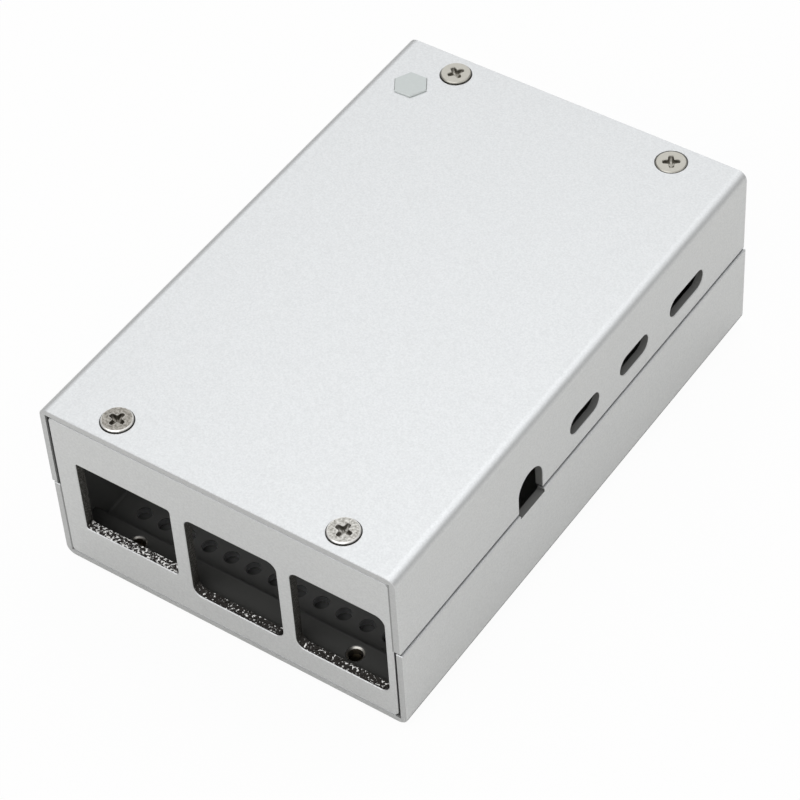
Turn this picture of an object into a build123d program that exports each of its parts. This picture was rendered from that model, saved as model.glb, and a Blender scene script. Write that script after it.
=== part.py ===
from build123d import *
import os

# Sheet-aluminium case for a single-board computer, in the pose of a case laid on its vented lid:
# the base shell, which carries the board, is on top, and the lid is underneath.
# X runs across the case with the port side at +X, Y along it with the wide connectors at -Y.
# The end panels are centred on X and Y, and Z is zero under the heads of the lid's screws.

# Board that the case is made for, and the places of its connectors and screw holes
board_length = 85.0
board_width = 56.0
board_thickness = 1.4
board_hole_inset = 3.5
board_hole_row = 58.0
power_port = 11.2
video_port_far = 26.0
video_port_near = 39.5
audio_port = 54.0
usb_near = 9.0
usb_far = 27.0
network_port = 10.4

# Room round the board: close to the sides with openings, wider behind and at the card end
board_clearance = 0.1
board_side_gap = 1.9
board_end_gap = 4.4

# Folded covers, and the break along the edges of covers and openings
cover_height = 15.3
sheet = 1.2
inner_bend = 0.4
seam_gap = 0.2
edge_break = 0.12

# End panels, cut from a channel profile with a square bar along its top and bottom
panel_wall = 1.6
bar_depth = 4.4
bar_height = 3.5
bar_fillet = 0.4
side_clearance = 0.15
bend_clearance = 0.4
panel_edge = 0.15

# Countersunk M2.5 cover screws, with the thread drawn as a plain cylinder at its pitch diameter
shank_diameter = 2.208
screw_length = 4.0
head_diameter = 4.7
head_rim = 0.6
head_proud = 0.4
recess_span = 2.65
recess_width = 0.7
recess_depth = 1.1
recess_foot_span = 1.1
recess_foot_width = 0.42
clearance_hole = 2.9
countersink_angle = 90
thread_clearance = 0.05
thread_mouth = 0.35
tip_chamfer = 0.3
screw_inset = 11.0
base_screw_turns = (81, 58, 86, 33)
lid_screw_turns = (15, 63, 41, 76)

# Board posts
post_length = 6.0
post_diameter = 4.8
post_foot_diameter = 6.0
post_foot_height = 0.8
post_thread = 2.2
post_thread_depth = 5.0
post_mouth = 0.25
hex_across_flats = 5.0
hex_proud = 0.3
hex_sunk = 0.8
hex_chamfer = 0.12
hex_turn = 2.0
neck_diameter = 4.0

# Openings
port_slot_height = 3.5
power_slot_width = 9.6
video_slot_width = 7.9
port_slot_drop = 1.95
audio_diameter = 6.2
audio_drop = 3.6
lid_notch_depth = 0.6
usb_window = 15.8
usb_window_height = 16.05
usb_window_drop = 0.6
usb_corner = 1.5
network_window = 16.6
network_window_height = 13.85
network_window_drop = 0.35
network_corner = 0.4
card_slot_width = 14.0
card_slot_height = 2.4
card_slot_rise = 1.0

# Vents in the lid
vent_diameter = 2.4
vent_pitch = 4.0
vent_columns = 13
vent_rows = 4
vent_start = 11.0

# Levels and faces worked out from the sizes above
case_width = board_width + board_clearance + board_side_gap + 2 * sheet
case_length = board_length + board_clearance + board_end_gap + 2 * panel_wall
case_height = 2 * cover_height + seam_gap
lid_face = head_proud
base_face = lid_face + case_height
case_middle = lid_face + case_height / 2
base_seam = base_face - cover_height
lid_seam = lid_face + cover_height
half_width = case_width / 2
half_length = case_length / 2
outer_bend = inner_bend + sheet
panel_width = case_width - 2 * sheet - 2 * side_clearance
panel_height = case_height - 2 * sheet
bar_reach = panel_wall + bar_depth
screw_spacing = case_width - 2 * screw_inset
screw_row = case_length - panel_wall - bar_reach

# The base shell is pushed to -X and the lid to +X, each until a fold bears on the end panels
base_shift = -side_clearance
lid_shift = side_clearance
port_wall = base_shift + half_width

# The board hangs from the posts with its connectors downwards, against the port wall
board_back = base_face - sheet - post_length
board_front = board_back - board_thickness
board_port_edge = port_wall - sheet - board_clearance
board_card_edge = board_length + board_clearance + panel_wall - half_length
board_far_edge = board_port_edge - board_width
board_middle = board_port_edge - board_width / 2
post_near_x = board_port_edge - board_hole_inset
post_far_x = board_far_edge + board_hole_inset
post_card_y = board_card_edge - board_hole_inset
post_port_y = post_card_y - board_hole_row

tapped_diameter = shank_diameter + thread_clearance
seat_diameter = head_diameter - 2 * (head_proud - head_rim)

base_plane = Plane(origin=(0, 0, base_face))
lid_plane = Plane(origin=(0, 0, lid_face), x_dir=(-1, 0, 0), z_dir=(0, 0, -1))
port_side = Plane.YZ.offset(port_wall)
lid_side = Plane.YZ.offset(lid_shift + half_width)
port_end = Plane.XZ.offset(half_length)
card_end = Plane.XZ.offset(-half_length)

# Deep enough to go through one wall, and not as deep as the next
cut = 2 * sheet

os.makedirs("parts", exist_ok=True)


# Base shell: one sheet folded down at both sides, with the seats of four screws in its face
with BuildPart() as base_shell:
    with BuildSketch(Plane.XZ):
        with BuildLine():
            FilletPolyline(
                (base_shift - half_width, base_seam),
                (base_shift - half_width, base_face),
                (base_shift + half_width, base_face),
                (base_shift + half_width, base_seam),
                radius=outer_bend,
            )
            offset(amount=sheet, side=Side.RIGHT)
        make_face()
    extrude(amount=half_length, both=True)
    # The ends and the flanges' free edges are broken
    sawn_ends = base_shell.faces().filter_by(Axis.Y)
    flange_ends = base_shell.faces().group_by(Axis.Z)[0]
    chamfer(set(sawn_ends.edges() + flange_ends.edges()), edge_break)
    with Locations(base_plane):
        with GridLocations(screw_spacing, screw_row, 2, 2):
            CounterSinkHole(clearance_hole / 2, seat_diameter / 2, sheet, countersink_angle)
    # Seat of the pressed-in post: a hexagon outside and a round neck below it
    with BuildSketch(base_plane):
        with Locations((post_far_x, post_card_y)):
            RegularPolygon(hex_across_flats / 2, 6, major_radius=False, rotation=hex_turn)
    extrude(amount=-hex_sunk, mode=Mode.SUBTRACT)
    with BuildSketch(base_plane):
        with Locations((post_far_x, post_card_y)):
            Circle(neck_diameter / 2)
    extrude(amount=-sheet, mode=Mode.SUBTRACT)
    # Power and video slots, and the upper part of the audio hole, which runs out at the seam
    with BuildSketch(port_side):
        with Locations((board_card_edge - power_port, board_front - port_slot_drop)):
            SlotOverall(power_slot_width, port_slot_height)
        with Locations(
            (board_card_edge - video_port_far, board_front - port_slot_drop),
            (board_card_edge - video_port_near, board_front - port_slot_drop),
        ):
            SlotOverall(video_slot_width, port_slot_height)
        with Locations((board_card_edge - audio_port, board_front - audio_drop)):
            Circle(audio_diameter / 2)
            Rectangle(audio_diameter, cover_height, align=(Align.CENTER, Align.MAX))
    extrude(amount=-cut, mode=Mode.SUBTRACT)
    chamfer(base_shell.faces().sort_by(Axis.X)[-1].inner_wires().edges(), edge_break)
base_shell.part.label = "base_shell"
export_step(base_shell.part, "parts/base_shell.step")


# Vented lid: the same folded sheet turned over, with a field of round vents
with BuildPart() as vented_lid:
    with BuildSketch(Plane.XZ):
        with BuildLine():
            FilletPolyline(
                (lid_shift - half_width, lid_seam),
                (lid_shift - half_width, lid_face),
                (lid_shift + half_width, lid_face),
                (lid_shift + half_width, lid_seam),
                radius=outer_bend,
            )
            offset(amount=sheet, side=Side.LEFT)
        make_face()
    extrude(amount=half_length, both=True)
    sawn_ends = vented_lid.faces().filter_by(Axis.Y)
    flange_ends = vented_lid.faces().group_by(Axis.Z)[-1]
    chamfer(set(sawn_ends.edges() + flange_ends.edges()), edge_break)
    with Locations(lid_plane):
        with GridLocations(screw_spacing, screw_row, 2, 2):
            CounterSinkHole(clearance_hole / 2, seat_diameter / 2, sheet, countersink_angle)
    with BuildSketch(Plane.XY.offset(lid_face)):
        field_middle = vent_start - half_length + vent_pitch * (vent_rows - 1) / 2
        with Locations((0, field_middle)):
            with GridLocations(vent_pitch, vent_pitch, vent_columns, vent_rows):
                Circle(vent_diameter / 2)
    extrude(amount=sheet, mode=Mode.SUBTRACT)
    with BuildSketch(lid_side):
        with Locations((board_card_edge - audio_port, lid_seam)):
            Rectangle(audio_diameter, 2 * lid_notch_depth)
    extrude(amount=-cut, mode=Mode.SUBTRACT)
vented_lid.part.label = "vented_lid"
export_step(vented_lid.part, "parts/vented_lid.step")


# Blank of both end panels: a wall with a bar along its top and bottom, tapped for the cover screws
with BuildPart() as end_blank:
    with BuildSketch(Plane.YZ):
        with Locations((-half_length, case_middle)):
            Rectangle(bar_reach, panel_height, align=(Align.MIN, Align.CENTER))
        with Locations((panel_wall - half_length, case_middle)):
            Rectangle(
                bar_depth,
                panel_height - 2 * bar_height,
                align=(Align.MIN, Align.CENTER),
                mode=Mode.SUBTRACT,
            )
    extrude(amount=panel_width / 2, both=True)
    wall_back = panel_wall - half_length
    inner_corners = (
        end_blank.edges().filter_by(Axis.X).filter_by_position(Axis.Y, wall_back, wall_back)
    )
    fillet(inner_corners, bar_fillet)
    end_edges = end_blank.edges().filter_by(Axis.Y).group_by(SortBy.LENGTH)[-1]
    fillet(end_edges, inner_bend + bend_clearance)
    chamfer(end_blank.faces().sort_by(Axis.Y)[0].edges(), panel_edge)
    screw_seats = Locations(base_plane.offset(-sheet), lid_plane.offset(-sheet))
    with screw_seats:
        with Locations((-screw_spacing / 2, -screw_row / 2), (screw_spacing / 2, -screw_row / 2)):
            Hole(tapped_diameter / 2, bar_height)
    tapped_mouths = end_blank.edges().filter_by(
        lambda edge: edge.geom_type == GeomType.CIRCLE and edge.is_closed
    )
    chamfer(tapped_mouths, thread_mouth)


# Port panel: three milled windows for the network jack and the two double USB connectors
with BuildPart() as port_panel:
    add(end_blank.part)
    with BuildSketch(port_end):
        with Locations((board_far_edge + network_port, board_front - network_window_drop)):
            RectangleRounded(
                network_window,
                network_window_height,
                network_corner,
                align=(Align.CENTER, Align.MAX),
            )
        with Locations(
            (board_port_edge - usb_far, board_front - usb_window_drop),
            (board_port_edge - usb_near, board_front - usb_window_drop),
        ):
            RectangleRounded(
                usb_window, usb_window_height, usb_corner, align=(Align.CENTER, Align.MAX)
            )
    extrude(amount=-panel_wall, mode=Mode.SUBTRACT)
    chamfer(port_panel.faces().sort_by(Axis.Y)[0].inner_wires().edges(), edge_break)
port_panel.part.label = "port_panel"
export_step(port_panel.part, "parts/port_panel.step")


# Card panel: the same blank turned round, with the slot of the memory card
with BuildPart() as card_panel:
    with Locations(Location((0, 0, 0), (0, 0, 180))):
        add(end_blank.part)
    with BuildSketch(card_end):
        with Locations((board_middle, board_back + card_slot_rise)):
            SlotOverall(card_slot_width, card_slot_height)
    extrude(amount=panel_wall, mode=Mode.SUBTRACT)
    chamfer(card_panel.faces().sort_by(Axis.Y)[-1].inner_wires().edges(), edge_break)
card_panel.part.label = "card_panel"
export_step(card_panel.part, "parts/card_panel.step")


# Cover screw, drawn with the cover's outer face at zero: countersunk head with a cross recess
head_top = head_proud
rim_foot = head_proud - head_rim
cone_foot = rim_foot - (head_diameter - shank_diameter) / 2
screw_tip = head_proud - screw_length
with BuildPart() as cover_screw:
    with BuildSketch(Plane.XZ):
        with BuildLine():
            Polyline(
                (0, head_top),
                (head_diameter / 2, head_top),
                (head_diameter / 2, rim_foot),
                (shank_diameter / 2, cone_foot),
                (shank_diameter / 2, screw_tip + tip_chamfer),
                (shank_diameter / 2 - tip_chamfer, screw_tip),
                (0, screw_tip),
                close=True,
            )
        make_face()
    revolve(axis=Axis.Z)
    with BuildSketch(Plane.XY.offset(head_top)):
        Rectangle(recess_span, recess_width)
        Rectangle(recess_width, recess_span)
    with BuildSketch(Plane.XY.offset(head_top - recess_depth)):
        Rectangle(recess_foot_span, recess_foot_width)
        Rectangle(recess_foot_width, recess_foot_span)
    loft(ruled=True, mode=Mode.SUBTRACT)

screw_places = [
    (x, y) for x in (-screw_spacing / 2, screw_spacing / 2) for y in (-screw_row / 2, screw_row / 2)
]
for cover, face, flip, turns in (
    ("base", base_face, 0, base_screw_turns),
    ("lid", lid_face, 180, lid_screw_turns),
):
    for number, ((x, y), turn) in enumerate(zip(screw_places, turns), start=1):
        with BuildPart() as placed_screw:
            with Locations(Location((x, y, face), (flip, 0, turn))):
                add(cover_screw.part)
        placed_screw.part.label = f"{cover}_screw_{number}"
        export_step(placed_screw.part, f"parts/{cover}_screw_{number}.step")


# Round board post, drawn with the inner face of the base shell at zero: a turned pillar with a
# foot, fixed from inside, and a blind thread for the board's screw in its end
post_end = Plane(origin=(0, 0, -post_length), x_dir=(1, 0, 0), z_dir=(0, 0, -1))
with BuildPart() as round_post:
    Cylinder(
        post_foot_diameter / 2, post_foot_height, align=(Align.CENTER, Align.CENTER, Align.MAX)
    )
    Cylinder(post_diameter / 2, post_length, align=(Align.CENTER, Align.CENTER, Align.MAX))
    with Locations(post_end):
        CounterSinkHole(post_thread / 2, post_thread / 2 + post_mouth, post_thread_depth, countersink_angle)

for name, x, y in (
    ("board_post_1", post_near_x, post_card_y),
    ("board_post_2", post_near_x, post_port_y),
    ("board_post_3", post_far_x, post_port_y),
):
    with BuildPart() as placed_post:
        with Locations((x, y, base_face - sheet)):
            add(round_post.part)
    placed_post.part.label = name
    export_step(placed_post.part, f"parts/{name}.step")


# Pressed-in post: its hexagon head is let into the outside of the base shell and stands proud
with BuildPart() as hex_post:
    with BuildSketch(base_plane.offset(hex_proud)):
        with Locations((post_far_x, post_card_y)):
            RegularPolygon(hex_across_flats / 2, 6, major_radius=False, rotation=hex_turn)
    extrude(amount=-hex_proud - hex_sunk)
    chamfer(hex_post.faces().sort_by(Axis.Z)[-1].edges(), hex_chamfer)
    with Locations((post_far_x, post_card_y, base_face - hex_sunk)):
        Cylinder(neck_diameter / 2, sheet - hex_sunk, align=(Align.CENTER, Align.CENTER, Align.MAX))
    with Locations((post_far_x, post_card_y, base_face - sheet)):
        Cylinder(post_diameter / 2, post_length, align=(Align.CENTER, Align.CENTER, Align.MAX))
    with Locations(Plane(origin=(post_far_x, post_card_y, board_back), z_dir=(0, 0, -1))):
        CounterSinkHole(post_thread / 2, post_thread / 2 + post_mouth, post_thread_depth, countersink_angle)
hex_post.part.label = "hex_post"
export_step(hex_post.part, "parts/hex_post.step")
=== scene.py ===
import math

import bpy
import numpy as np
from mathutils import Matrix, Vector


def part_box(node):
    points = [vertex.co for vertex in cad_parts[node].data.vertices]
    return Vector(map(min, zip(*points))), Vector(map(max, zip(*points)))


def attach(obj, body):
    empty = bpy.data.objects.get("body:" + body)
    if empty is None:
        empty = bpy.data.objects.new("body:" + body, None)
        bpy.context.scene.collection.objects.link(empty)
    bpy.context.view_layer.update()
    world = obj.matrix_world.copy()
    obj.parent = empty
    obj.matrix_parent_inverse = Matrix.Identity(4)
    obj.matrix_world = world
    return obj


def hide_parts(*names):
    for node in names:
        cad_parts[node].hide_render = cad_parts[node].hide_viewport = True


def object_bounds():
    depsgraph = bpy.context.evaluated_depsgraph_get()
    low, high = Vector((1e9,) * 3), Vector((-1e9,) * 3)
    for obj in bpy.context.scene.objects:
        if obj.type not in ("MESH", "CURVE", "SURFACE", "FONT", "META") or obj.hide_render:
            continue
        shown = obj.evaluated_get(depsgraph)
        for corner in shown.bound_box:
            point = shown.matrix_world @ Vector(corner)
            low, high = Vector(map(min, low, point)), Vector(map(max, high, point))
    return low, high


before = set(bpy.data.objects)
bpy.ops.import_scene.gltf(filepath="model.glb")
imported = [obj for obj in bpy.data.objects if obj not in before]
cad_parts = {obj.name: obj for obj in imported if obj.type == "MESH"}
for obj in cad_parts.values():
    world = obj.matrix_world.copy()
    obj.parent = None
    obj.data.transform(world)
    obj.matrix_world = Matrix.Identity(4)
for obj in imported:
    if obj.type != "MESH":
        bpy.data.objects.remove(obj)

cad_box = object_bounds()


# End panels: two lengths of extruded aluminium channel with a 1.6 mm wall, sawn off, finely
# blasted and clear anodised outside, and black inside. The windows and the tapped holes were
# cut afterwards, so they are bare metal, torn by the cutter in the windows. There the faces that
# look up get painted glints, and the upright ones painted shade.
millimetre = 0.001
panel_wall = 1.6 * millimetre
bar_depth = 4.4 * millimetre
tapped_mouth = 1.35 * millimetre
window_reach = 28.3 * millimetre
# The web between the middle window and the one at -X
web_edges = (-6.8 * millimetre, -9.6 * millimetre)
skin = 0.02 * millimetre
edge_break = 0.12 * millimetre
# Painted shade in the joints: its depth, its share where parts touch, where a fold stands off
joint_shade = 0.75
tight_joint = 0.55
stand_off = 28.4 * millimetre
silver_colour = "#d8d9d9"
# The blasted grain is finer than 0.1 mm. It is drawn coarser, so that it shows
grain = 0.28 * millimetre
grain_height = 0.004 * millimetre
# Most of a noise texture lies between these two values
noise_reach = (0.3, 0.7)
silver_tone = (0.95, 1.05)
silver_roughness = (0.52, 0.44)
bar_black = "#4e4e4c"
black_roughness = 0.55
# The painted glint, the dark between glints, and the painted shade of upright torn faces
torn_glint = "#dbdad7"
torn_dark = "#2c2a28"
torn_shade = "#403f3c"
# The cutter leaves a tear every half millimetre or so
tear = 0.42 * millimetre
tear_height = 0.25 * millimetre
tear_lean = 0.6
torn_roughness = 0.3
# Flecks get the painted glint colour where the noise, plus an offset for the side of the web,
# passes this edge
torn_edge = (0.47, 0.53)
torn_offset = (-0.115, -0.045)
# The share of painted glints left on upright faces
upright_share = 0.06
thread_colour = "#bdbab3"
thread_roughness = 0.35


def linear(colour):
    """The linear red, green, blue and alpha of an sRGB hex colour."""
    parts = np.array([int(colour[i:i + 2], 16) for i in (1, 3, 5)]) / 255
    curve = np.where(parts > 0.04045, ((parts + 0.055) / 1.055) ** 2.4, parts / 12.92)
    return (*curve, 1.0)


def add(material, kind, settings, links):
    """Adds a node and gives its outputs. A setting is a property or an input's value by name."""
    node = material.node_tree.nodes.new(kind)
    for name, value in settings.items():
        if isinstance(name, str) and hasattr(node, name):
            setattr(node, name, value)
        else:
            node.inputs[name].default_value = value
    for name, source in links.items():
        material.node_tree.links.new(source, node.inputs[name])
    return node.outputs


def new_material(name):
    """An empty node material, and the object's own coordinates in it."""
    material = bpy.data.materials.new(name)
    material.use_nodes = True
    material.node_tree.nodes.clear()
    return material, add(material, "ShaderNodeTexCoord", {}, {})["Object"]


def within(material, x, z, low, high):
    """1 where x and z lie between those of the two corners, and otherwise 0."""
    middle = (low + high) / 2
    half = (high - low) / 2
    across = add(
        material, "ShaderNodeMath", {"operation": "COMPARE", 1: middle.x, 2: half.x}, {0: x}
    )[0]
    upright = add(
        material, "ShaderNodeMath", {"operation": "COMPARE", 1: middle.z, 2: half.z}, {0: z}
    )[0]
    return add(material, "ShaderNodeMath", {"operation": "MULTIPLY"}, {0: across, 1: upright})[0]


def joint_painted_shade(material, joint, outward, open_joint):
    """The painted shade in a joint: a share of its own where a cover's fold stands off the end of
    the panel, and another where the two touch."""
    apart = add(
        material, "ShaderNodeMath", {"operation": "GREATER_THAN", 1: stand_off}, {0: outward}
    )[0]
    amount = add(
        material, "ShaderNodeMath",
        {"operation": "MULTIPLY_ADD", 1: open_joint - tight_joint, 2: tight_joint}, {0: apart},
    )[0]
    return add(material, "ShaderNodeMath", {"operation": "MULTIPLY"}, {0: joint, 1: amount})[0]


def blasted_silver(material, place, dull_and_shaded):
    """Blasted, clear-anodised aluminium: satin, even, with a fine glitter of light and dark. It
    is darker where its last socket is 1: painted shade in the joints, and the duller sawn ends."""
    speck = add(
        material, "ShaderNodeTexNoise",
        {"Scale": 1 / grain, "Detail": 2.0, "Roughness": 0.7}, {"Vector": place},
    )["Fac"]
    tone = add(
        material, "ShaderNodeMapRange",
        {"From Min": noise_reach[0], "From Max": noise_reach[1],
         "To Min": silver_tone[0], "To Max": silver_tone[1]},
        {"Value": speck},
    )["Result"]
    clean = add(
        material, "ShaderNodeMath", {"operation": "MULTIPLY_ADD", 1: -joint_shade, 2: 1.0},
        {0: dull_and_shaded},
    )[0]
    tone = add(material, "ShaderNodeMath", {"operation": "MULTIPLY"}, {0: tone, 1: clean})[0]
    colour = add(
        material, "ShaderNodeVectorMath",
        {"operation": "SCALE", 0: linear(silver_colour)[:3]}, {"Scale": tone},
    )["Vector"]
    rough = add(
        material, "ShaderNodeMapRange",
        {"From Min": noise_reach[0], "From Max": noise_reach[1],
         "To Min": silver_roughness[0], "To Max": silver_roughness[1]},
        {"Value": speck},
    )["Result"]
    bump = add(
        material, "ShaderNodeBump", {"Distance": grain_height}, {"Height": speck}
    )["Normal"]
    return add(
        material, "ShaderNodeBsdfPrincipled", {"Metallic": 1.0},
        {"Base Color": colour, "Roughness": rough, "Normal": bump},
    )["BSDF"]


def torn_metal(material, place, inward):
    """Bare milled aluminium, torn by the cutter: flecks that lean outwards, with painted glints
    and dark between, on faces that look up. More painted glints are in the window at -X, beyond
    the web between it and the middle one, and few on upright faces, which get painted shade."""
    fleck = add(
        material, "ShaderNodeTexNoise",
        {"Scale": 1 / tear, "Detail": 3.0, "Roughness": 0.6}, {"Vector": place},
    )["Fac"]
    x = add(material, "ShaderNodeSeparateXYZ", {}, {0: place})["X"]
    more = add(
        material, "ShaderNodeMapRange",
        {"From Min": web_edges[0], "From Max": web_edges[1],
         "To Min": torn_offset[0], "To Max": torn_offset[1]},
        {"Value": x},
    )["Result"]
    bright = add(material, "ShaderNodeMath", {"operation": "ADD"}, {0: fleck, 1: more})[0]
    share = add(
        material, "ShaderNodeMapRange",
        {"From Min": torn_edge[0], "From Max": torn_edge[1]}, {"Value": bright},
    )["Result"]
    lit = add(
        material, "ShaderNodeMix",
        {"data_type": "RGBA", 6: linear(torn_dark), 7: linear(torn_glint)}, {0: share},
    )[2]
    # Painted shade: upright faces take the shade colour, and faces that look up the glints
    normal = add(material, "ShaderNodeNewGeometry", {}, {})["Normal"]
    upward = add(material, "ShaderNodeSeparateXYZ", {}, {0: normal})["Z"]
    upward = add(
        material, "ShaderNodeMapRange", {"To Min": upright_share, "To Max": 1.0}, {"Value": upward}
    )["Result"]
    colour = add(
        material, "ShaderNodeMix",
        {"data_type": "RGBA", 6: linear(torn_shade)}, {0: upward, 7: lit},
    )[2]
    bump = add(material, "ShaderNodeBump", {"Distance": tear_height}, {"Height": fleck})["Normal"]
    lean = add(
        material, "ShaderNodeVectorMath", {"operation": "ADD", 1: (0, -inward * tear_lean, 0)},
        {0: bump},
    )["Vector"]
    lean = add(material, "ShaderNodeVectorMath", {"operation": "NORMALIZE"}, {0: lean})["Vector"]
    return add(
        material, "ShaderNodeBsdfPrincipled", {"Metallic": 1.0, "Roughness": torn_roughness},
        {"Base Color": colour, "Normal": lean},
    )["BSDF"]


def black_inside(material, colour):
    """The black finish inside, on the covers also put in as painted shade: matt, and grey enough
    to show its shape in the little light.
    """
    return add(
        material, "ShaderNodeBsdfPrincipled",
        {"Base Color": linear(colour), "Roughness": black_roughness}, {},
    )["BSDF"]


def bare_thread(material):
    """Freshly cut aluminium thread, bright and smooth."""
    return add(
        material, "ShaderNodeBsdfPrincipled",
        {"Base Color": linear(thread_colour), "Metallic": 1.0, "Roughness": thread_roughness}, {},
    )["BSDF"]


screw_low, screw_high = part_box("base_screw_4")
screw_place = (screw_low + screw_high) / 2

for name, inward in (("port_panel", 1), ("card_panel", -1)):
    low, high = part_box(name)
    outer_face = low.y if inward > 0 else high.y
    panel, place = new_material(f"{name}_blasted_anodised_aluminium")
    x, y, z = add(panel, "ShaderNodeSeparateXYZ", {}, {0: place})
    depth = add(
        panel, "ShaderNodeMath",
        {"operation": "MULTIPLY_ADD", 1: inward, 2: -inward * outer_face}, {0: y},
    )[0]
    side = add(panel, "ShaderNodeMath", {"operation": "ABSOLUTE"}, {0: x})[0]
    # Cut away after blasting: whatever lies deeper than the broken edges, clear of the sawn ends
    # and bars. The broken edge outside that gets the painted shade of the joint with the covers
    below_skin = add(
        panel, "ShaderNodeMath", {"operation": "GREATER_THAN", 1: skin}, {0: depth}
    )[0]
    in_edge = add(
        panel, "ShaderNodeMath", {"operation": "LESS_THAN", 1: edge_break}, {0: depth}
    )[0]
    clear = within(
        panel, x, z, Vector((-window_reach, 0, low.z + panel_wall)),
        Vector((window_reach, 0, high.z - panel_wall)),
    )
    cut = add(
        panel, "ShaderNodeMath", {"operation": "SUBTRACT", "use_clamp": True},
        {0: clear, 1: in_edge},
    )[0]
    joint = add(
        panel, "ShaderNodeMath", {"operation": "MULTIPLY"}, {0: below_skin, 1: in_edge}
    )[0]
    joint = add(
        panel, "ShaderNodeMath", {"operation": "SUBTRACT", "use_clamp": True},
        {0: joint, 1: clear},
    )[0]
    # The upper cover stands off at -X, and the lower one at +X
    upper = add(
        panel, "ShaderNodeMath", {"operation": "GREATER_THAN", 1: (low.z + high.z) / 2}, {0: z}
    )[0]
    toward_gap = add(
        panel, "ShaderNodeMath", {"operation": "MULTIPLY_ADD", 1: -2.0, 2: 1.0}, {0: upper}
    )[0]
    outward = add(
        panel, "ShaderNodeMath", {"operation": "MULTIPLY"}, {0: x, 1: toward_gap}
    )[0]
    joint = joint_painted_shade(panel, joint, outward, 0.0)
    # Tapped holes: within their radius of the screws' axes, whose places the nodes give
    across = add(
        panel, "ShaderNodeMath", {"operation": "SUBTRACT", 1: screw_place.x}, {0: side}
    )[0]
    along = add(
        panel, "ShaderNodeMath",
        {"operation": "SUBTRACT", 1: panel_wall + bar_depth / 2}, {0: depth},
    )[0]
    offset = add(panel, "ShaderNodeCombineXYZ", {}, {0: across, 1: along})[0]
    radius = add(panel, "ShaderNodeVectorMath", {"operation": "LENGTH"}, {0: offset})["Value"]
    tapped = add(
        panel, "ShaderNodeMath", {"operation": "LESS_THAN", 1: tapped_mouth}, {0: radius}
    )[0]
    inside = add(
        panel, "ShaderNodeMath", {"operation": "GREATER_THAN", 1: panel_wall - skin}, {0: depth}
    )[0]
    silver = blasted_silver(panel, place, joint)
    surface = add(
        panel, "ShaderNodeMixShader", {}, {0: cut, 1: silver, 2: torn_metal(panel, place, inward)}
    )[0]
    surface = add(
        panel, "ShaderNodeMixShader", {},
        {0: inside, 1: surface, 2: black_inside(panel, bar_black)},
    )[0]
    surface = add(
        panel, "ShaderNodeMixShader", {}, {0: tapped, 1: surface, 2: bare_thread(panel)}
    )[0]
    add(panel, "ShaderNodeOutputMaterial", {}, {"Surface": surface})
    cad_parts[name].data.materials.clear()
    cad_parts[name].data.materials.append(panel)


# Covers: two sheets of 1.2 mm aluminium, each folded down at both sides and blasted and clear
# anodised like the panels, so their flats are satin and very even. Their sawn ends are duller,
# and they are black inside. The seats of the screws and the walls of the slots get the same dark
# colour as painted shade.
sheet = 1.2 * millimetre
seat_mouth = 2.58 * millimetre
sawn_soil = 0.2
broken = edge_break + skin
# The black inside, also used as painted shade in the seats and the slot walls
cover_black_and_shade = "#6a6a68"

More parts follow.
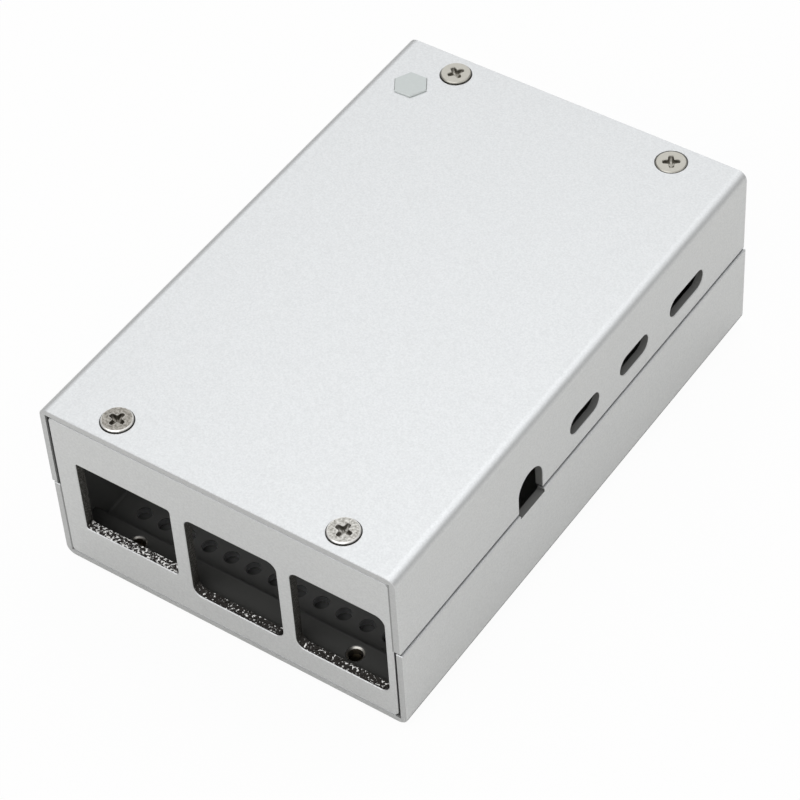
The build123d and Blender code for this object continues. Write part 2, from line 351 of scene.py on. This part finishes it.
for name, roof in (("base_shell", sheet), ("vented_lid", 0)):
    low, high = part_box(name)
    cover, place = new_material(f"{name}_blasted_anodised_aluminium")
    inner_low = low + Vector((sheet - skin, 0, 0 if roof else sheet - skin))
    inner_high = high - Vector((sheet - skin, 0, sheet - skin if roof else 0))
    x, y, z = add(cover, "ShaderNodeSeparateXYZ", {}, {0: place})
    # Inside the folded sheet: between the flanges, and behind the flat between them. The broken
    # edges beside it get the painted shade of the joint with the panels
    inside = within(cover, x, z, inner_low, inner_high)
    beside = Vector((edge_break, 0, edge_break))
    joint = add(
        cover, "ShaderNodeMath", {"operation": "SUBTRACT"},
        {0: within(cover, x, z, inner_low - beside, inner_high + beside), 1: inside},
    )[0]
    outward = add(
        cover, "ShaderNodeMath", {"operation": "MULTIPLY", 1: -1.0 if roof else 1.0}, {0: x}
    )[0]
    joint = joint_painted_shade(cover, joint, outward, 1.0)
    if roof:
        # Its free edges overhang the seam and get painted shade there too
        seam = add(
            cover, "ShaderNodeMath", {"operation": "LESS_THAN", 1: low.z + edge_break}, {0: z}
        )[0]
        joint = add(cover, "ShaderNodeMath", {"operation": "MAXIMUM"}, {0: joint, 1: seam})[0]
    # Seats: within their radius of the screws' axes, behind the outer face. They get the dark
    # inside colour as painted shade of the gap round each head
    outer_face = high.z if roof else low.z
    side = add(cover, "ShaderNodeMath", {"operation": "ABSOLUTE"}, {0: x})[0]
    end = add(cover, "ShaderNodeMath", {"operation": "ABSOLUTE"}, {0: y})[0]
    offset = add(cover, "ShaderNodeCombineXYZ", {}, {0: side, 1: end})[0]
    gap = add(
        cover, "ShaderNodeVectorMath",
        {"operation": "DISTANCE", 1: (screw_place.x, screw_place.y, 0)}, {0: offset},
    )["Value"]
    near = add(cover, "ShaderNodeMath", {"operation": "LESS_THAN", 1: seat_mouth}, {0: gap})[0]
    level = add(
        cover, "ShaderNodeMath", {"operation": "COMPARE", 1: outer_face, 2: skin}, {0: z}
    )[0]
    seat = add(
        cover, "ShaderNodeMath", {"operation": "SUBTRACT", "use_clamp": True},
        {0: near, 1: level},
    )[0]
    # Walls of the port slots: within the thickness of the port side, away from its own ends. They
    # get the dark inside colour as painted shade
    slot = within(
        cover, x, z, Vector((high.x - sheet, 0, low.z + broken)),
        Vector((high.x - (broken if roof else skin), 0, high.z - (2 * sheet if roof else broken))),
    )
    near_end = add(
        cover, "ShaderNodeMath", {"operation": "GREATER_THAN", 1: high.y - broken}, {0: end}
    )[0]
    slot = add(
        cover, "ShaderNodeMath", {"operation": "SUBTRACT", "use_clamp": True},
        {0: slot, 1: near_end},
    )[0]
    # Painted shade in the seats and slot walls takes the colour of the black inside
    dark = add(cover, "ShaderNodeMath", {"operation": "MAXIMUM"}, {0: seat, 1: slot})[0]
    black = add(cover, "ShaderNodeMath", {"operation": "MAXIMUM"}, {0: inside, 1: dark})[0]
    sawn = add(
        cover, "ShaderNodeMath", {"operation": "GREATER_THAN", 1: high.y - skin}, {0: end}
    )[0]
    dull_and_shaded = add(
        cover, "ShaderNodeMath", {"operation": "MULTIPLY_ADD", 1: sawn_soil}, {0: sawn, 2: joint}
    )[0]
    silver = blasted_silver(cover, place, dull_and_shaded)
    surface = add(
        cover, "ShaderNodeMixShader", {},
        {0: black, 1: silver, 2: black_inside(cover, cover_black_and_shade)},
    )[0]
    add(cover, "ShaderNodeOutputMaterial", {}, {"Surface": surface})
    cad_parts[name].data.materials.clear()
    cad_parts[name].data.materials.append(cover)


# Board posts: turned from steel bar and zinc plated, a satin grey with a green tinge. One has a
# hexagon head pressed into the base shell from outside, and the other three are fixed inside.
post_colour = "#c7cbc9"
# Clouds in the zinc, as wide as they are on small turned parts
post_wear = 0.5 * millimetre
post_relief = 0.01 * millimetre
post_roughness = (0.45, 0.62)

post, place = new_material("zinc_plated_turned_steel")
wear = add(
    post, "ShaderNodeTexNoise", {"Scale": 1 / post_wear, "Detail": 3.0}, {"Vector": place}
)["Fac"]
rough = add(
    post, "ShaderNodeMapRange",
    {"To Min": post_roughness[0], "To Max": post_roughness[1]}, {"Value": wear},
)["Result"]
bump = add(post, "ShaderNodeBump", {"Distance": post_relief}, {"Height": wear})["Normal"]
shader = add(
    post, "ShaderNodeBsdfPrincipled", {"Base Color": linear(post_colour), "Metallic": 1.0},
    {"Roughness": rough, "Normal": bump},
)["BSDF"]
add(post, "ShaderNodeOutputMaterial", {}, {"Surface": shader})
for name in ("hex_post", "board_post_1", "board_post_2", "board_post_3"):
    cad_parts[name].data.materials.clear()
    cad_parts[name].data.materials.append(post)


# Cover screws: eight countersunk M2.5 x 4 machine screws of nickel-plated steel, cold headed, so
# the cross recess has rounded arms. Each is one closed surface of rings round its axis, dark
# with grime and painted shade on the rim and in the recess. Three have been undone often and are
# rubbed bright, with a painted highlight on the bevel and the lip of the recess.
shank_radius = 1.104 * millimetre
screw_length = 4.0 * millimetre
head_radius = 2.35 * millimetre
head_rim = 0.6 * millimetre
edge_bevel = 0.14 * millimetre
recess_depth = 0.8 * millimetre
recess_top = (1.325 * millimetre, 0.42 * millimetre)
recess_foot = (0.60 * millimetre, 0.16 * millimetre)
recess_lip = 0.07 * millimetre
tip_chamfer = 0.3 * millimetre
around = 128
# Points along the wall, the lip and the flat, with both ends of each
wall_steps, lip_steps, flat_steps = 7, 6, 9
crease = math.radians(40)
screw_turns = {
    "base_screw_1": 81, "base_screw_2": 58, "base_screw_3": 86, "base_screw_4": 33,
    "lid_screw_1": 15, "lid_screw_2": 63, "lid_screw_3": 41, "lid_screw_4": 76,
}
# This one is nearly flush. Its cone overlaps its seat, out of sight
driven_deeper = {"base_screw_4": 0.3 * millimetre}
worn = {"base_screw_1": "tarnished", "base_screw_3": "scuffed", "lid_screw_2": "scuffed"}
# The light and the dark tone, the tone where rubbed and painted highlit, and the height of the
# mottle
nickel_finishes = {
    "clean": ("#b7b4ab", "#b7b4ab", "#b7b4ab", 0.004 * millimetre),
    "scuffed": ("#cfcdc7", "#7f7c75", "#f7f5f1", 0.03 * millimetre),
    "tarnished": ("#b0aca4", "#69655e", "#f3f1ec", 0.03 * millimetre),
}
# Grime and painted shade, on the rim below the bevel and down the recess's walls to its foot
grime_and_shade_colour = "#3b352b"
recess_grime_and_shade = (0.62, 0.25)
# The rubbed and painted highlit part of the recess's lip, as a share of its height
rubbed_and_highlit_lip = 0.7
nickel_edge = (0.38, 0.62)
nickel_roughness = (0.25, 0.5)
# Nicks of a screwdriver, drawn as wide as the widest, so that they show
scuff = 0.4 * millimetre


def cross_outline(angle, span, width):
    """The radius of a cross at an angle: the blended larger of two crossed superellipses."""
    along = np.abs(np.cos(angle))
    across = np.abs(np.sin(angle))
    one = ((along / span) ** 4 + (across / width) ** 4) ** -0.25
    other = ((across / span) ** 4 + (along / width) ** 4) ** -0.25
    return (one ** 6 + other ** 6) ** (1 / 6)


def screw_mesh(name):
    """The screw's rings from the foot of its recess, up its walls, which get steeper, over the
    lip, the flat and the bevel, down the rim, the cone and the shank, to the tip. Radius and
    height go by ring and angle, and a pole closes each end."""
    angle = np.linspace(0, 2 * np.pi, around, endpoint=False)
    foot = cross_outline(angle, *recess_foot)
    mouth = cross_outline(angle, *recess_top)
    climb = np.linspace(0, 1, wall_steps)[:, None]
    lip_bend = np.linspace(0, np.pi / 2, lip_steps)[1:, None]
    flat = (1 - np.cos(np.linspace(0, np.pi, flat_steps)))[1:-1, None] / 2
    full = np.ones_like(angle)
    flat_radius = head_radius - edge_bevel
    cone = head_rim + head_radius - shank_radius
    radii = np.concatenate([
        foot[None] * 0.5,
        foot + (mouth - foot) * np.sqrt(climb),
        mouth + recess_lip * np.sin(lip_bend),
        (mouth + recess_lip) * (1 - flat) + flat_radius * flat,
        flat_radius * full[None],
        head_radius * full[None],
        head_radius * full[None],
        shank_radius * full[None],
        shank_radius * full[None],
        (shank_radius - tip_chamfer) * full[None],
    ])
    heights = np.concatenate([
        -recess_depth * full[None],
        -recess_depth + (recess_depth - recess_lip) * climb * full,
        -recess_lip * np.cos(lip_bend) * full,
        0 * flat * full,
        0 * full[None],
        -edge_bevel * full[None],
        -head_rim * full[None],
        -cone * full[None],
        (tip_chamfer - screw_length) * full[None],
        -screw_length * full[None],
    ])
    recess = np.arange(len(radii))[:, None] < 1 + len(climb) + len(lip_bend)
    # Grime and painted shade: deeper down the recess's walls to its foot, and on the rim below
    wall_grime_and_shade, foot_grime_and_shade = recess_grime_and_shade
    depth = -heights / recess_depth
    lip = recess_lip / recess_depth
    wall = wall_grime_and_shade * np.clip(depth / lip - 1, 0, 1) + (foot_grime_and_shade - wall_grime_and_shade) * depth ** 4
    rim = np.clip(-heights / edge_bevel - 1, 0, 1)
    grime_and_shade = np.where(recess, wall, rim)
    # Rubbed bright and painted highlight: the upper lip of the recess, and the bevel
    near_lip = recess & (depth < rubbed_and_highlit_lip * lip)
    near_rim = ~recess & (radii >= flat_radius) & (heights >= -edge_bevel)
    rubbed_and_highlit = (near_lip | near_rim).astype(float)
    turned = angle + math.radians(screw_turns[name])
    rings = np.stack([radii * np.cos(turned), radii * np.sin(turned), heights], axis=-1)
    poles = np.array([[0, 0, -recess_depth], [0, 0, -screw_length]])
    verts = np.concatenate([rings.reshape(-1, 3), poles])
    low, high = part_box(name)
    head_up = name.startswith("base")
    axis = (low + high) / 2
    verts[:, 2] -= driven_deeper.get(name, 0)
    if not head_up:
        verts = verts * (1, -1, -1)
    verts = verts + (axis.x, axis.y, high.z if head_up else low.z)
    count = len(rings)
    index = np.arange(count * around).reshape(count, around)
    after = np.roll(index, -1, axis=1)
    quads = np.stack([index[:-1], after[:-1], after[1:], index[1:]], axis=-1)[:, :, ::-1]
    start, end = count * around, count * around + 1
    top_fan = np.stack([np.full(around, start), index[0], after[0]], axis=-1)
    tip_fan = np.stack([np.full(around, end), after[-1], index[-1]], axis=-1)
    faces = quads.reshape(-1, 4).tolist() + top_fan.tolist() + tip_fan.tolist()
    mesh = bpy.data.meshes.new(f"{name}_surface")
    mesh.from_pydata(verts.tolist(), [], faces)
    mesh.polygons.foreach_set("use_smooth", np.ones(len(faces), bool))
    mesh.set_sharp_from_angle(angle=crease)
    mesh.attributes.new("grime_and_shade", "FLOAT", "POINT").data.foreach_set(
        "value", np.concatenate([grime_and_shade.ravel(), (foot_grime_and_shade, 1)])
    )
    mesh.attributes.new("rubbed_and_highlit", "FLOAT", "POINT").data.foreach_set(
        "value", np.concatenate([rubbed_and_highlit.ravel(), (0, 0)])
    )
    mesh.update()
    return mesh


def nickel(name, light, dark, rubbed_and_highlit_tone, relief):
    """Nickel plate: mottled between two tones, rougher in the light one, with edges that are
    rubbed bright and painted highlit, under its grime and painted shade."""
    material, place = new_material(name)
    fleck = add(
        material, "ShaderNodeTexNoise",
        {"Scale": 1 / scuff, "Detail": 5.0, "Roughness": 0.7}, {"Vector": place},
    )["Fac"]
    share = add(
        material, "ShaderNodeMapRange",
        {"From Min": nickel_edge[0], "From Max": nickel_edge[1]}, {"Value": fleck},
    )["Result"]
    colour = add(
        material, "ShaderNodeMix",
        {"data_type": "RGBA", 6: linear(dark), 7: linear(light)}, {0: share},
    )[2]
    rubbed_and_highlit = add(material, "ShaderNodeAttribute", {"attribute_name": "rubbed_and_highlit"}, {})["Fac"]
    colour = add(
        material, "ShaderNodeMix", {"data_type": "RGBA", 7: linear(rubbed_and_highlit_tone)},
        {0: rubbed_and_highlit, 6: colour},
    )[2]
    grime_and_shade = add(material, "ShaderNodeAttribute", {"attribute_name": "grime_and_shade"}, {})["Fac"]
    colour = add(
        material, "ShaderNodeMix",
        {"data_type": "RGBA", 7: linear(grime_and_shade_colour)}, {0: grime_and_shade, 6: colour},
    )[2]
    rough = add(
        material, "ShaderNodeMapRange",
        {"To Min": nickel_roughness[0], "To Max": nickel_roughness[1]}, {"Value": fleck},
    )["Result"]
    bump = add(material, "ShaderNodeBump", {"Distance": relief}, {"Height": fleck})["Normal"]
    shader = add(
        material, "ShaderNodeBsdfPrincipled", {"Metallic": 1.0},
        {"Base Color": colour, "Roughness": rough, "Normal": bump},
    )["BSDF"]
    add(material, "ShaderNodeOutputMaterial", {}, {"Surface": shader})
    return material


nickels = {
    state: nickel(f"{state}_nickel_plate", *finish) for state, finish in nickel_finishes.items()
}
for name in screw_turns:
    screw = bpy.data.objects.new(f"{name}_headed", screw_mesh(name))
    bpy.context.scene.collection.objects.link(screw)
    screw.data.materials.append(nickels[worn.get(name, "clean")])
    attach(screw, "root")
    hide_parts(name)


# Camera: a long lens high over the corner between the port end and the port side, turned a
# little about its own axis. The angles, the distance and the lens were fitted to the straight
# edges in the photo, whose frame is 800 pixels wide and high.
photo_width = 800
focal_pixels = 3053.4
azimuth = math.radians(37.2)
elevation = math.radians(46.8)
roll = math.radians(-4.08)
camera_distance = 449.8 * millimetre
camera_right = -1.3 * millimetre
camera_up = -5.74 * millimetre
case_low, case_high = cad_box
case_middle = (case_low + case_high) / 2

back = Vector((
    math.sin(azimuth) * math.cos(elevation),
    -math.cos(azimuth) * math.cos(elevation),
    math.sin(elevation),
))
level = Vector((math.cos(azimuth), math.sin(azimuth), 0.0))
upright = back.cross(level)
right = math.cos(roll) * level + math.sin(roll) * upright
up = math.cos(roll) * upright - math.sin(roll) * level
lens = bpy.data.cameras.new("photo_camera")
lens.lens = focal_pixels * lens.sensor_width / photo_width
camera = bpy.data.objects.new("photo_camera", lens)
camera.matrix_world = Matrix.Translation(
    case_middle + back * camera_distance + right * camera_right + up * camera_up
) @ Matrix((right, up, back)).transposed().to_4x4()
bpy.context.scene.collection.objects.link(camera)
bpy.context.scene.camera = camera


# Table and light: a white paper table in a pale studio that darkens towards the horizon. A wide
# softbox hangs behind the case, so the top and half of its bend shine, and one in front lights
# the near edges. The paper glows white for the camera, but in reflections only a little.
table_size = 3.0
paper_colour = "#e0dfdc"
paper_glow = 0.95
reflected_glow = 0.15
shaded_paper = "#5f5f5e"
shaded_margin = 3.0 * millimetre
studio_level = 0.9
horizon_level = 0.4
horizon_height = (0.3, 0.85)
softbox_distance = 1.2
# Direction, width, depth, radiance and colour
softboxes = {
    "back": (Vector((0.08, 0.38, 0.92)), 2.2, 0.9, 0.9, "#f8fbff"),
    "front": (Vector((0.0, -0.75, 0.66)), 1.7, 0.8, 1.2, "#fbfcff"),
}

corners = np.array([(-1, -1, 0), (1, -1, 0), (1, 1, 0), (-1, 1, 0)]) * table_size / 2
mesh = bpy.data.meshes.new("table")
mesh.from_pydata(corners.tolist(), [], [(0, 1, 2, 3)])
table = bpy.data.objects.new("table", mesh)
bpy.context.scene.collection.objects.link(table)
paper, place = new_material("white_paper")
diffuse = add(paper, "ShaderNodeBsdfDiffuse", {"Color": linear(paper_colour)}, {})[0]
shade = add(paper, "ShaderNodeBsdfDiffuse", {"Color": linear(shaded_paper)}, {})[0]
glow = add(paper, "ShaderNodeEmission", {"Strength": 1.0}, {})[0]
path = add(paper, "ShaderNodeLightPath", {}, {})
reflected = add(
    paper, "ShaderNodeMath", {"operation": "MAXIMUM"},
    {0: path["Is Glossy Ray"], 1: path["Is Transmission Ray"]},
)[0]
reflected = add(
    paper, "ShaderNodeMath", {"operation": "MULTIPLY", 1: reflected_glow}, {0: reflected}
)[0]
share = add(
    paper, "ShaderNodeMath", {"operation": "MULTIPLY_ADD", 1: paper_glow},
    {0: path["Is Camera Ray"], 2: reflected},
)[0]
surface = add(paper, "ShaderNodeMixShader", {}, {0: share, 1: diffuse, 2: glow})[0]
# The paper under the case is seen through the vents, and a painted shadow keeps it dark there
x, y = add(paper, "ShaderNodeSeparateXYZ", {}, {0: place})[:2]
corner = Vector((case_high.x - shaded_margin, 0, case_high.y - shaded_margin))
under = within(paper, x, y, -corner, corner)
surface = add(paper, "ShaderNodeMixShader", {}, {0: under, 1: surface, 2: shade})[0]
add(paper, "ShaderNodeOutputMaterial", {}, {"Surface": surface})
mesh.materials.append(paper)

studio = bpy.data.worlds.new("studio")
bpy.context.scene.world = studio
studio.use_nodes = True
studio.node_tree.nodes.clear()
sky_direction = add(studio, "ShaderNodeTexCoord", {}, {})["Generated"]
height = add(studio, "ShaderNodeSeparateXYZ", {}, {0: sky_direction})["Z"]
strength = add(
    studio, "ShaderNodeMapRange",
    {"From Min": horizon_height[0], "From Max": horizon_height[1],
     "To Min": horizon_level, "To Max": studio_level},
    {"Value": height},
)["Result"]
sky = add(
    studio, "ShaderNodeBackground", {"Color": (1, 1, 1, 1)}, {"Strength": strength}
)["Background"]
add(studio, "ShaderNodeOutputWorld", {}, {"Surface": sky})

for name, (toward, width, depth, radiance, colour) in softboxes.items():
    lamp = bpy.data.lights.new(f"{name}_softbox", "AREA")
    lamp.shape = "RECTANGLE"
    lamp.size = width
    lamp.size_y = depth
    lamp.energy = radiance * math.pi * width * depth
    lamp.color = linear(colour)[:3]
    softbox = bpy.data.objects.new(f"{name}_softbox", lamp)
    softbox.location = case_middle + toward.normalized() * softbox_distance
    softbox.rotation_mode = "QUATERNION"
    softbox.rotation_quaternion = toward.to_track_quat("Z", "Y")
    bpy.context.scene.collection.objects.link(softbox)

bpy.context.scene.view_settings.view_transform = "Standard"
